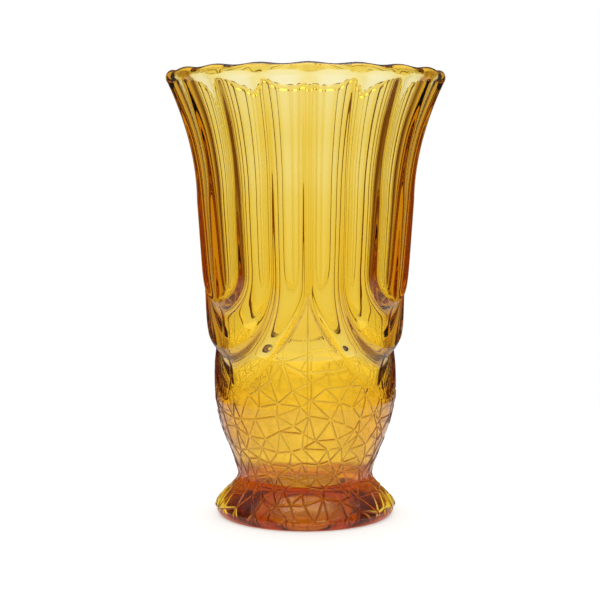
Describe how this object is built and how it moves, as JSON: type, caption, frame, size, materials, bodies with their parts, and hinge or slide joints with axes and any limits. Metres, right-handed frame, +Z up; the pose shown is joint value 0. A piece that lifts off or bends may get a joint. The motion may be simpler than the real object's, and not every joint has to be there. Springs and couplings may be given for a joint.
{
  "type": "flower vase",
  "caption": "Amber pressed-glass flower vase: round, fluted and draped body with a flared scalloped lip, crackled lower body and a spreading solid foot.",
  "frame": {"origin": "on the vase's axis, at the level of the ring that it stands on", "axes": "+Z up along the axis, towards the lip; -Y is the side in the picture, with a mould seam along its middle"},
  "size_m": [0.1252, 0.1252, 0.2],
  "materials": {
    "amber_glass": "fire-polished gloss"
  },
  "bodies": {
    "root": {"vase": "amber_glass"}
  },
  "joints": []
}
